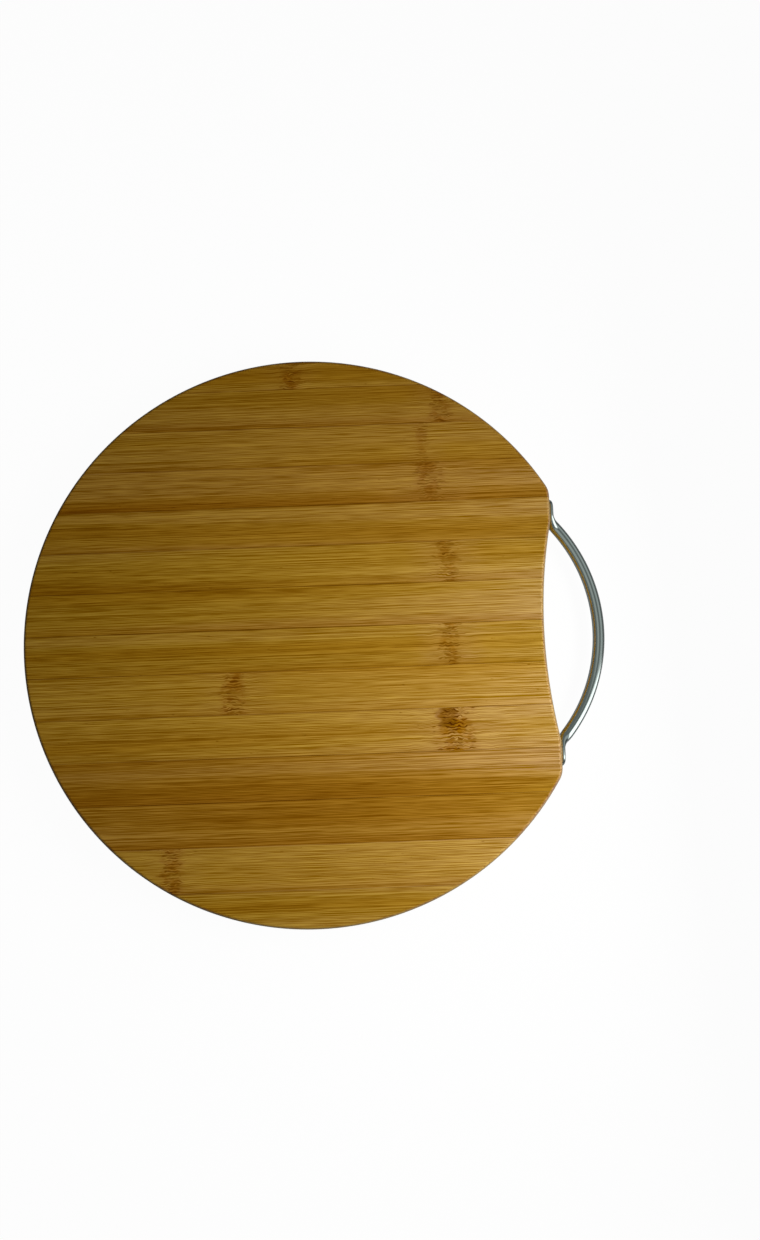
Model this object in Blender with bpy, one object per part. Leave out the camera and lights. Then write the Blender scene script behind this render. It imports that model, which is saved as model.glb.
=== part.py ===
"""Round bamboo cutting board with a bent steel carrying handle.

The board is a three-layer laminate. Each face is a panel of bamboo strips laid side by side along X,
and the core between them is a panel of strips laid across, along Y, which keeps the board flat. The
glued panel is cut, slightly out of line with its strips, to a disc with two short flats and a hollow
grip between them, and its rims are rounded. A round steel bar, bent to a bow and hammered flat at
both ends, spans the hollow. A countersunk wood screw through each flattened end holds it to a flat on
the edge.

Units are metres. The origin is the disc's centre on the face that the board rests on, with +Z up and
the handle towards +X.
"""

import math

import bmesh
import bpy
from mathutils import Matrix, Vector

# Board
BOARD_DIAMETER = 0.300
BOARD_THICKNESS = 0.018
FACE_THICKNESS = 0.005
RIM_ROUND = 0.002
FLAT_X = 0.130
FLAT_CORNER_ROUND = 0.012
GRIP_DEPTH = 0.006
GRIP_RADIUS = 0.280

# Strips and the clearance that stands for a glue line or a seated joint
STRIP_WIDTH = 0.022
TOP_SEAM_OFFSET = 0.0014
CORE_SEAM_OFFSET = STRIP_WIDTH / 2
PANEL_TURN = math.radians(1.5)
GLUE_LINE = 0.0003

# Handle
ROD_DIAMETER = 0.006
BOW_RADIUS = 0.087
BOW_CENTRE_X = 0.0677
BEND_RADIUS = 0.008
TAB_WIDTH = 0.012
TAB_THICKNESS = 0.0022
TAB_TIP_Y = 0.0715
TIP_EASE_LENGTH = 0.003
TIP_EASE_SHARE = 0.6
FLATTENING_LENGTH = 0.009

# Screws
SCREW_LENGTH = 0.020
SCREW_SHANK_DIAMETER = 0.0035
SCREW_HEAD_DIAMETER = 0.007
SCREW_POINT_LENGTH = 0.004
SCREW_HEAD_SINK = 0.0001
RECESS_SPAN = 0.0038
RECESS_SLOT = 0.0009
RECESS_DEPTH = 0.0014

# Facets
DISC_SEGMENTS = 100
CORNER_SEGMENTS = 5
GRIP_SEGMENTS = 12
RIM_SEGMENTS = 4
ROD_SIDES = 20
TIP_SEGMENTS = 7
BEND_SEGMENTS = 6
BOW_SEGMENTS = 28
SCREW_SEGMENTS = 24
SMOOTH_ANGLE = math.radians(30)

# Derived dimensions
BOARD_RADIUS = BOARD_DIAMETER / 2
MID_HEIGHT = BOARD_THICKNESS / 2
TAB_X = FLAT_X + GLUE_LINE + TAB_THICKNESS / 2
TAB_OUTER_X = TAB_X + TAB_THICKNESS / 2
SCREW_Y = TAB_TIP_Y - TAB_WIDTH / 2
BEND_CENTRE = Vector((
    TAB_X + BEND_RADIUS,
    math.sqrt((BOW_RADIUS + BEND_RADIUS) ** 2 - (TAB_X + BEND_RADIUS - BOW_CENTRE_X) ** 2),
))
BOW_HALF_ANGLE = math.atan2(BEND_CENTRE.y, BEND_CENTRE.x - BOW_CENTRE_X)

# Finishes: name, base colour, roughness, metallic
FACE_BAMBOO = ("face_bamboo", (0.46, 0.25, 0.07), 0.48, 0.0)
CORE_BAMBOO = ("core_bamboo", (0.38, 0.20, 0.06), 0.55, 0.0)
HANDLE_STEEL = ("handle_steel", (0.62, 0.64, 0.63), 0.18, 1.0)
SCREW_STEEL = ("screw_steel", (0.55, 0.55, 0.54), 0.28, 1.0)


def clear_scene():
    """Removes whatever the file starts with."""
    for obj in list(bpy.data.objects):
        bpy.data.objects.remove(obj)


def finish_material(finish):
    """The material of a finish, made once and shared."""
    name, colour, roughness, metallic = finish
    material = bpy.data.materials.get(name)
    if material is None:
        material = bpy.data.materials.new(name)
        material.use_nodes = True
        shader = material.node_tree.nodes["Principled BSDF"]
        shader.inputs["Base Color"].default_value = (*colour, 1.0)
        shader.inputs["Roughness"].default_value = roughness
        shader.inputs["Metallic"].default_value = metallic
    return material


def add_object(name, mesh, parent=None, finish=None):
    """Links a mesh as a named object. One with no finish is a cutter or a guide, and isn't rendered."""
    obj = bpy.data.objects.new(name, mesh)
    bpy.context.scene.collection.objects.link(obj)
    obj.parent = parent
    if finish is None:
        obj.hide_render = True
        obj.display_type = "WIRE"
    elif not mesh.materials:
        mesh.materials.append(finish_material(finish))
    return obj


def mesh_of(name, shape):
    """Turns a bmesh into a mesh with outward normals and smooth round surfaces."""
    bmesh.ops.recalc_face_normals(shape, faces=shape.faces)
    mesh = bpy.data.meshes.new(name)
    shape.to_mesh(mesh)
    shape.free()
    mesh.shade_smooth()
    mesh.set_sharp_from_angle(angle=SMOOTH_ANGLE)
    return mesh


def boolean(obj, other, operation):
    """Adds a Boolean of another object to this one."""
    modifier = obj.modifiers.new(f"{operation.lower()} {other.name}", "BOOLEAN")
    modifier.operation = operation
    modifier.object = other


def arc(centre_x, centre_y, radius, start, end, segments):
    """Points of an arc in the plane, both ends included, with angles in radians."""
    angles = [start + (end - start) * i / segments for i in range(segments + 1)]
    return [Vector((centre_x + radius * math.cos(a), centre_y + radius * math.sin(a))) for a in angles]


def board_outline():
    """The board seen from above, anticlockwise: disc, lower flat, hollow grip, upper flat."""
    corner_x = FLAT_X - FLAT_CORNER_ROUND
    corner_y = math.sqrt((BOARD_RADIUS - FLAT_CORNER_ROUND) ** 2 - corner_x**2)
    corner_angle = math.atan2(corner_y, corner_x)
    grip_half_angle = math.acos(1 - GRIP_DEPTH / GRIP_RADIUS)
    grip_x = FLAT_X - GRIP_DEPTH + GRIP_RADIUS

    disc = arc(0, 0, BOARD_RADIUS, corner_angle, 2 * math.pi - corner_angle, DISC_SEGMENTS)
    lower_corner = arc(corner_x, -corner_y, FLAT_CORNER_ROUND, -corner_angle, 0, CORNER_SEGMENTS)
    grip = arc(grip_x, 0, GRIP_RADIUS, math.pi + grip_half_angle, math.pi - grip_half_angle, GRIP_SEGMENTS)
    upper_corner = arc(corner_x, corner_y, FLAT_CORNER_ROUND, 0, corner_angle, CORNER_SEGMENTS)
    return disc + lower_corner[1:] + grip + upper_corner[:-1]


def extrude_up(shape, face, height):
    """Raises a face along Z into a closed prism."""
    raised = bmesh.ops.extrude_face_region(shape, geom=[face])["geom"]
    top = [v for v in raised if isinstance(v, bmesh.types.BMVert)]
    bmesh.ops.translate(shape, verts=top, vec=(0, 0, height))


def make_blank():
    """The finished outside of the board as one solid: the guide that every strip is trimmed to."""
    shape = bmesh.new()
    base = shape.faces.new([shape.verts.new((p.x, p.y, 0)) for p in board_outline()])
    extrude_up(shape, base, BOARD_THICKNESS)
    blank = add_object("board_blank", mesh_of("board_blank", shape))
    rim = blank.modifiers.new("rounded rims", "BEVEL")
    rim.width = RIM_ROUND
    rim.segments = RIM_SEGMENTS
    rim.limit_method = "ANGLE"
    return blank


def plank(name, low, high, parent, finish):
    """A square-edged piece of bamboo between two corners of the panel, which is turned on the board."""
    middle = (Vector(low) + Vector(high)) / 2
    size = Vector(high) - Vector(low)
    shape = bmesh.new()
    bmesh.ops.create_cube(shape, size=1.0, matrix=Matrix.Diagonal((*size, 1.0)))
    obj = add_object(name, mesh_of(name, shape), parent, finish)
    obj.matrix_world = Matrix.Rotation(PANEL_TURN, 4, "Z") @ Matrix.Translation(middle)
    return obj


def seams(offset, low, high):
    """Where the strips of a panel meet between two limits, with an end past the blank on each side."""
    first = math.ceil((low - offset) / STRIP_WIDTH)
    last = math.floor((high - offset) / STRIP_WIDTH)
    meets = [offset + i * STRIP_WIDTH for i in range(first, last + 1)]
    return [-BOARD_DIAMETER, *meets, BOARD_DIAMETER]


def face_layer(name, seam_offset, low_z, high_z, blank, parent):
    """One face of the board: strips along X, trimmed to the blank."""
    edges = seams(seam_offset, -BOARD_RADIUS, BOARD_RADIUS)
    for number, (low_y, high_y) in enumerate(zip(edges, edges[1:]), start=1):
        strip = plank(
            f"{name}_{number:02d}",
            (-BOARD_DIAMETER, low_y + GLUE_LINE / 2, low_z),
            (BOARD_DIAMETER, high_y - GLUE_LINE / 2, high_z),
            parent,
            FACE_BAMBOO,
        )
        boolean(strip, blank, "INTERSECT")


def core_layer(blank, pilot_holes, parent):
    """The middle of the board: strips along Y, with the handle's screws let into those they reach."""
    low_z = FACE_THICKNESS + GLUE_LINE / 2
    high_z = BOARD_THICKNESS - FACE_THICKNESS - GLUE_LINE / 2
    edges = seams(CORE_SEAM_OFFSET, -BOARD_RADIUS, FLAT_X)
    for number, (low_x, high_x) in enumerate(zip(edges, edges[1:]), start=1):
        strip = plank(
            f"core_strip_{number:02d}",
            (low_x + GLUE_LINE / 2, -BOARD_DIAMETER, low_z),
            (high_x - GLUE_LINE / 2, BOARD_DIAMETER, high_z),
            parent,
            CORE_BAMBOO,
        )
        boolean(strip, blank, "INTERSECT")
        if high_x > TAB_OUTER_X - SCREW_LENGTH:
            for hole in pilot_holes:
                boolean(strip, hole, "DIFFERENCE")


def turned(name, profile):
    """A solid turned about its own Z axis from (radius, height) points, which start and end on the axis."""
    shape = bmesh.new()
    points = [shape.verts.new((radius, 0, height)) for radius, height in profile]
    edges = [shape.edges.new(pair) for pair in zip(points, points[1:])]
    bmesh.ops.spin(
        shape,
        geom=points + edges,
        cent=(0, 0, 0),
        axis=(0, 0, 1),
        angle=2 * math.pi,
        steps=SCREW_SEGMENTS,
        use_merge=True,
    )
    bmesh.ops.remove_doubles(shape, verts=shape.verts, dist=1e-6)
    return mesh_of(name, shape)


def screw_profile(clearance, point_end):
    """Half of a countersunk screw, from its head down, grown by a clearance and ending at a depth."""
    head = SCREW_HEAD_DIAMETER / 2 + clearance
    shank = SCREW_SHANK_DIAMETER / 2 + clearance
    neck = -(head - shank)
    return [(0, 0), (head, 0), (shank, neck), (shank, point_end + SCREW_POINT_LENGTH), (0, point_end)]


def screw_places():
    """Where the two screws sit, as matrices that turn +Z to +X, out of the board's edge."""
    outwards = Matrix.Rotation(math.pi / 2, 4, "Y")
    return [Matrix.Translation((TAB_OUTER_X, side * SCREW_Y, MID_HEIGHT)) @ outwards for side in (1, -1)]


def make_pilot_holes():
    """Cutters for the hole, with its countersink, that each screw goes into."""
    above = 0.001
    profile = screw_profile(GLUE_LINE, -SCREW_LENGTH - GLUE_LINE)
    mouth = [(0, above), (profile[1][0], above)]
    mesh = turned("pilot_hole", mouth + profile[1:])
    holes = []
    for number, place in enumerate(screw_places(), start=1):
        hole = add_object(f"pilot_hole_{number}", mesh)
        hole.matrix_world = place
        holes.append(hole)
    return holes


def make_recess():
    """Cutter for the cross recess in a screw's head: a plus-shaped outline, extruded through the top."""
    shape = bmesh.new()
    reach = RECESS_SPAN / 2
    half_slot = RECESS_SLOT / 2
    arm = [(reach, -half_slot), (reach, half_slot), (half_slot, half_slot)]
    outline = []
    for quarter in range(4):
        turn = Matrix.Rotation(quarter * math.pi / 2, 3, "Z")
        outline += [shape.verts.new(turn @ Vector((x, y, -RECESS_DEPTH))) for x, y in arm]
    extrude_up(shape, shape.faces.new(outline), 2 * RECESS_DEPTH)
    return mesh_of("cross_recess", shape)


def make_screws(parent):
    """Two countersunk wood screws, which share one mesh."""
    mesh = turned("handle_screw", screw_profile(0, -SCREW_LENGTH))
    recess = make_recess()
    sink = Matrix.Translation((0, 0, -SCREW_HEAD_SINK))
    for side, place in zip(("upper", "lower"), screw_places()):
        screw = add_object(f"handle_screw_{side}", mesh, parent, SCREW_STEEL)
        screw.matrix_world = place @ sink
        cutter = add_object(f"cross_recess_{side}", recess)
        cutter.matrix_world = screw.matrix_world
        boolean(screw, cutter, "DIFFERENCE")


def smooth_step(value):
    """Eases from 0 to 1 as the value goes from 0 to 1."""
    value = min(max(value, 0.0), 1.0)
    return value * value * (3 - 2 * value)


def bar_section(run):
    """Width and thickness of the bar at a run past the tab's straight end: flat tab, then round bar."""
    share = smooth_step(run / FLATTENING_LENGTH)
    width = TAB_WIDTH + (ROD_DIAMETER - TAB_WIDTH) * share
    thickness = TAB_THICKNESS + (ROD_DIAMETER - TAB_THICKNESS) * share
    return width, thickness


def tip_thickness(run):
    """Thickness of a tab at a run from its tip, where its outer side is eased to a thin round nose."""
    short_of_full = 1 - min(run / TIP_EASE_LENGTH, 1.0)
    return TAB_THICKNESS * (1 - TIP_EASE_SHARE + TIP_EASE_SHARE * math.sqrt(1 - short_of_full**2))


def half_handle_stations():
    """Stations from a tab's tip to the top of the bow, each (point, heading angle, width, thickness)."""
    down = -math.pi / 2
    stations = []
    tip_start = math.asin(tip_thickness(0) / TAB_WIDTH)
    for i in range(TIP_SEGMENTS + 1):
        angle = tip_start + (math.pi / 2 - tip_start) * i / TIP_SEGMENTS
        run = TAB_WIDTH / 2 * (1 - math.cos(angle))
        thickness = tip_thickness(run)
        point = Vector((FLAT_X + GLUE_LINE + thickness / 2, TAB_TIP_Y - run))
        stations.append((point, down, TAB_WIDTH * math.sin(angle), thickness))
    for i in range(BEND_SEGMENTS):
        turn = BOW_HALF_ANGLE * i / BEND_SEGMENTS
        point = BEND_CENTRE - BEND_RADIUS * Vector((math.cos(turn), math.sin(turn)))
        stations.append((point, down + turn, *bar_section(BEND_RADIUS * turn)))
    bend_run = BEND_RADIUS * BOW_HALF_ANGLE
    for i in range(BOW_SEGMENTS // 2 + 1):
        angle = BOW_HALF_ANGLE * (1 - 2 * i / BOW_SEGMENTS)
        point = Vector((BOW_CENTRE_X, 0)) + BOW_RADIUS * Vector((math.cos(angle), math.sin(angle)))
        run = bend_run + BOW_RADIUS * (BOW_HALF_ANGLE - angle)
        stations.append((point, down + angle, *bar_section(run)))
    return stations


def bar_ring(shape, point, heading, width, thickness):
    """One cross-section of the bar: a slot shape with round edges, which is a circle on the bow."""
    across = Vector((-math.sin(heading), math.cos(heading), 0))
    straight = (width - thickness) / 2
    ring = []
    for i in range(ROD_SIDES):
        angle = 2 * math.pi * (i + 0.5) / ROD_SIDES
        up = thickness / 2 * math.sin(angle) + math.copysign(straight, math.sin(angle))
        centre = Vector((point.x, point.y, MID_HEIGHT + up))
        ring.append(shape.verts.new(centre + across * (thickness / 2 * math.cos(angle))))
    return ring


def make_handle(holes, parent):
    """The steel bar: two flat tabs, the bends out of them and the bow between, lofted through rings."""
    half = half_handle_stations()
    mirrored = [(Vector((p.x, -p.y)), -math.pi - heading, w, t) for p, heading, w, t in reversed(half[:-1])]
    shape = bmesh.new()
    rings = [bar_ring(shape, *station) for station in half + mirrored]
    for first, second in zip(rings, rings[1:]):
        for i in range(ROD_SIDES):
            j = (i + 1) % ROD_SIDES
            shape.faces.new((first[i], first[j], second[j], second[i]))
    shape.faces.new(rings[0])
    shape.faces.new(reversed(rings[-1]))
    handle = add_object("carrying_handle", mesh_of("carrying_handle", shape), parent, HANDLE_STEEL)
    for hole in holes:
        boolean(handle, hole, "DIFFERENCE")


def build():
    """Builds the board and its handle."""
    clear_scene()
    root = bpy.data.objects.new("cutting_board", None)
    bpy.context.scene.collection.objects.link(root)

    blank = make_blank()
    holes = make_pilot_holes()
    past_face = 0.002
    upper_glue = BOARD_THICKNESS - FACE_THICKNESS + GLUE_LINE / 2
    lower_glue = FACE_THICKNESS - GLUE_LINE / 2
    face_layer("top_strip", TOP_SEAM_OFFSET, upper_glue, BOARD_THICKNESS + past_face, blank, root)
    face_layer("underside_strip", -TOP_SEAM_OFFSET, -past_face, lower_glue, blank, root)
    core_layer(blank, holes, root)
    make_handle(holes, root)
    make_screws(root)


build()
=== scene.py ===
"""Round bamboo cutting board with a bent steel carrying handle, dressed and lit.

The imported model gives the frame: metres, +Z up, the handle towards +X and the board resting on
Z = 0. Every strip, the handle and both screws are modelled again with finer surfaces and the
finishes of the real board, and each stands where its solid is.
"""

import logging
import math
import random
from collections.abc import Callable, Iterator
from contextlib import contextmanager
from dataclasses import dataclass, field
from enum import Enum
from functools import partial
from typing import Any

import bmesh
import bpy
from bpy.types import Material, Node, NodeSocket, NodeTree, Object
from mathutils import Matrix, Vector


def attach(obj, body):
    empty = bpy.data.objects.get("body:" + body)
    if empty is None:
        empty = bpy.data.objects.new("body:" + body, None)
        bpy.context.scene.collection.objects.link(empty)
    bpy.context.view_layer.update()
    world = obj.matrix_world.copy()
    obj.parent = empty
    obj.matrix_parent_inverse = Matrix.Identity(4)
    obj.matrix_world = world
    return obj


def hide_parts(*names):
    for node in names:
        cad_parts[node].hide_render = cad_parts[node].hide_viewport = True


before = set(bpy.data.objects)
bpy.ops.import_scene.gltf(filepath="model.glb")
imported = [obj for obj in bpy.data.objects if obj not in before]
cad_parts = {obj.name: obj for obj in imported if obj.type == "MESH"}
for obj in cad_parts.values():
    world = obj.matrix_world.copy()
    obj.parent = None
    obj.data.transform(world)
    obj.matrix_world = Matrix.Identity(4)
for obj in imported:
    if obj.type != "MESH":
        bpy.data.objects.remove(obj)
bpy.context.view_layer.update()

LOG = logging.getLogger("cutting_board")
MM = 0.001
PANEL_TURN = math.radians(1.5)
STRIP_WIDTH = 22 * MM
STRIP_COUNT = 14
LAYER_SEAMS = (5 * MM, 13 * MM)
SEAM_GAP = 0.04 * MM
FLAT_X = 130 * MM
MID_HEIGHT = 9 * MM
SMOOTH_ANGLE = math.radians(35)
LEVEL_ANGLE = math.radians(0.5)
WELD = 0.01 * MM
TINY = 1e-6
UP = (0, 0, 1)
# Makes a MapRange ease in and out. One that has no other numbers gives 0 to 1.
FADE = {"interpolation_type": "SMOOTHSTEP"}

Size = tuple[float, float]
Point = tuple[float, float, float]
Station = tuple[Vector, float, float, float]
AddNode = Callable[..., Node]


def linear(colour: str) -> tuple[float, float, float, float]:
    """Turns an sRGB hex colour, as "#RRGGBB", into linear light with an alpha of 1."""
    shares = [int(colour[i : i + 2], 16) / 255 for i in (1, 3, 5)]
    return (*[s / 12.92 if s <= 0.04045 else ((s + 0.055) / 1.055) ** 2.4 for s in shares], 1.0)


def fill(node: Node, inputs: dict[Any, Any]) -> None:
    """Sets or links inputs of a shader node.

    Args:
        node: The node.
        inputs: For each input, by name or number, a value, a socket, or a node whose first
            output it takes.
    """
    for name, value in inputs.items():
        source = value.outputs[0] if isinstance(value, Node) else value
        if isinstance(source, NodeSocket):
            node.id_data.links.new(source, node.inputs[name])
        else:
            node.inputs[name].default_value = source


def add_node(tree: NodeTree, kind: str, *inputs: Any, **settings: Any) -> Node:
    """Adds a shader node with its settings, input values and links.

    Args:
        tree: The node tree it goes into.
        kind: The node's type, without its ShaderNode prefix, and its operation if it has one.
        inputs: Its first inputs in order, or a dictionary of inputs, as fill takes them.
        settings: The node's own properties.

    Returns:
        The new node.
    """
    kind, *operation = kind.split()
    node = tree.nodes.new(f"ShaderNode{kind}")
    if operation:
        node.operation = operation[0]
    for name, value in settings.items():
        setattr(node, name, value)
    named = inputs and isinstance(inputs[0], dict)
    fill(node, inputs[0] if named else dict(enumerate(inputs)))
    return node


def new_finish(name: str) -> tuple[Material, Node, AddNode]:
    """Starts a material.

    Args:
        name: The material's name.

    Returns:
        The material, its shader, and the function that adds a node to it.
    """
    material = bpy.data.materials.new(name)
    material.use_nodes = True
    tree = material.node_tree
    return material, tree.nodes["Principled BSDF"], partial(add_node, tree)


def select_only(obj: Object) -> None:
    """Selects one object and makes it the active one.

    Args:
        obj: The object.
    """
    bpy.ops.object.select_all(action="DESELECT")
    obj.select_set(True)
    bpy.context.view_layer.objects.active = obj


@contextmanager
def edit_mode(obj: Object) -> Iterator[None]:
    """Opens an object, selected all over, in edit mode, and closes it again.

    Args:
        obj: The mesh object to shape.
    """
    select_only(obj)
    bpy.ops.object.mode_set(mode="EDIT")
    bpy.ops.mesh.select_mode(type="VERT")
    bpy.ops.mesh.select_all(action="SELECT")
    yield
    bpy.ops.object.mode_set(mode="OBJECT")


def pick(obj: Object, kind: str, test: Callable[[Any], bool]) -> None:
    """Selects, in edit mode, only the elements of a kind that pass a test.

    Args:
        obj: The object in edit mode.
        kind: VERT, EDGE or FACE.
        test: Says whether a bmesh element is selected.
    """
    bpy.ops.mesh.select_mode(type=kind)
    bpy.ops.mesh.select_all(action="DESELECT")
    shape = bmesh.from_edit_mesh(obj.data)
    for element in {"VERT": shape.verts, "EDGE": shape.edges, "FACE": shape.faces}[kind]:
        element.select_set(test(element))
    shape.select_flush_mode()
    bmesh.update_edit_mesh(obj.data)


def draw_out(x: float, y: float, z: float) -> None:
    """Extrudes, in edit mode, what is selected by a step."""
    bpy.ops.mesh.extrude_region_move(TRANSFORM_OT_translate={"value": (x, y, z)})


def apply_modifier(obj: Object, kind: str, **settings: Any) -> None:
    """Adds a modifier to an object and applies it.

    Args:
        obj: The object.
        kind: The modifier's type.
        settings: The modifier's properties.
    """
    select_only(obj)
    modifier = obj.modifiers.new(kind.lower(), kind)
    for name, value in settings.items():
        setattr(modifier, name, value)
    bpy.ops.object.modifier_apply(modifier=modifier.name)


def combine(obj: Object, tool: Object, operation: str = "DIFFERENCE") -> None:
    """Cuts a tool's shape out of an object, or for UNION joins it on."""
    apply_modifier(obj, "BOOLEAN", operation=operation, object=tool, solver="EXACT")


def copy_of(obj: Object, name: str) -> Object:
    """Copies an object with a mesh of its own.

    Args:
        obj: The object to copy.
        name: The copy's name.

    Returns:
        The copy, linked to the scene.
    """
    copy = obj.copy()
    copy.data = obj.data.copy()
    copy.name = copy.data.name = name
    bpy.context.scene.collection.objects.link(copy)
    return copy


def new_shape(name: str, kind: str, **settings: Any) -> Object:
    """Adds a primitive.

    Args:
        name: The new object's name.
        kind: The primitive, such as plane.
        settings: Its sizes and its place.

    Returns:
        The object, with its place in its mesh and itself at the origin.
    """
    bpy.ops.object.select_all(action="DESELECT")
    getattr(bpy.ops.mesh, f"primitive_{kind}_add")(**settings)
    obj = bpy.context.object
    obj.name = obj.data.name = name
    bpy.ops.object.transform_apply(location=True, rotation=True, scale=True)
    return obj


def start_point(name: str, place: Point) -> Object:
    """Makes the single point that an outline or a profile is drawn from.

    Args:
        name: The new object's name.
        place: Where the point is.

    Returns:
        An object at the origin with one vertex, for edit mode to extrude.
    """
    obj = new_shape(name, "plane", size=MM, location=place)
    with edit_mode(obj):
        bpy.ops.mesh.merge(type="CENTER")
    return obj


def close_up(obj: Object) -> None:
    """Merges doubled points, turns the faces outwards and smooths the round surfaces.

    Args:
        obj: The object, which is a closed solid.
    """
    with edit_mode(obj):
        bpy.ops.mesh.remove_doubles(threshold=TINY)
        bpy.ops.mesh.normals_make_consistent(inside=False)
    bpy.ops.object.shade_smooth_by_angle(angle=SMOOTH_ANGLE)


def place_piece(piece: Object, node: str, material: Material) -> None:
    """Dresses a finished piece and puts it in its node's place.

    Args:
        piece: The piece, at the origin.
        node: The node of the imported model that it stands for.
        material: Its finish.
    """
    piece.data.materials.clear()
    piece.data.materials.append(material)
    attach(piece, "root")
    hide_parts(node)
    LOG.info("%s: %d faces, %s", piece.name, len(piece.data.polygons), material.name)


class Tone(Enum):
    """How far a strip of bamboo darkened when it was steamed, as the colour of its plain wood."""

    PALE = "#B28814"
    HONEY = "#AC8310"
    AMBER = "#A77B0E"
    TOASTED = "#A4750E"


class Layer(Enum):
    """The three panels of the board, by the name of their nodes."""

    TOP = "top_strip"
    CORE = "core_strip"
    UNDERSIDE = "underside_strip"


@dataclass(frozen=True)
class Knuckle:
    """The mark of a ring of the bamboo cane across a strip.

    Attributes:
        at: Its middle along the strip.
        reach: Half its length.
        depth: How dark it is, from 0 to 1.
    """

    at: float = 0.0
    reach: float = 6 * MM
    depth: float = 0.0


@dataclass(frozen=True)
class Strip:
    """One strip of a panel.

    Attributes:
        tone: Its colour.
        edge: How dark the strip is along its lower edge, from 0 to 1.
        knuckle: Its knuckle, which has no depth where it has none.
    """

    tone: Tone
    edge: float
    knuckle: Knuckle = Knuckle()


@dataclass(frozen=True)
class Bend:
    """How fibres or the edge of a mark stray to both sides of a straight line.

    Attributes:
        size: Length and width of one bend.
        reach: How far it strays.
        spread: How far from its mean the noise is when it strays that far.
        detail: How many times over it splits into finer bends.
    """

    size: Size
    reach: float
    spread: float = 0.25
    detail: float = 1


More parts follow.
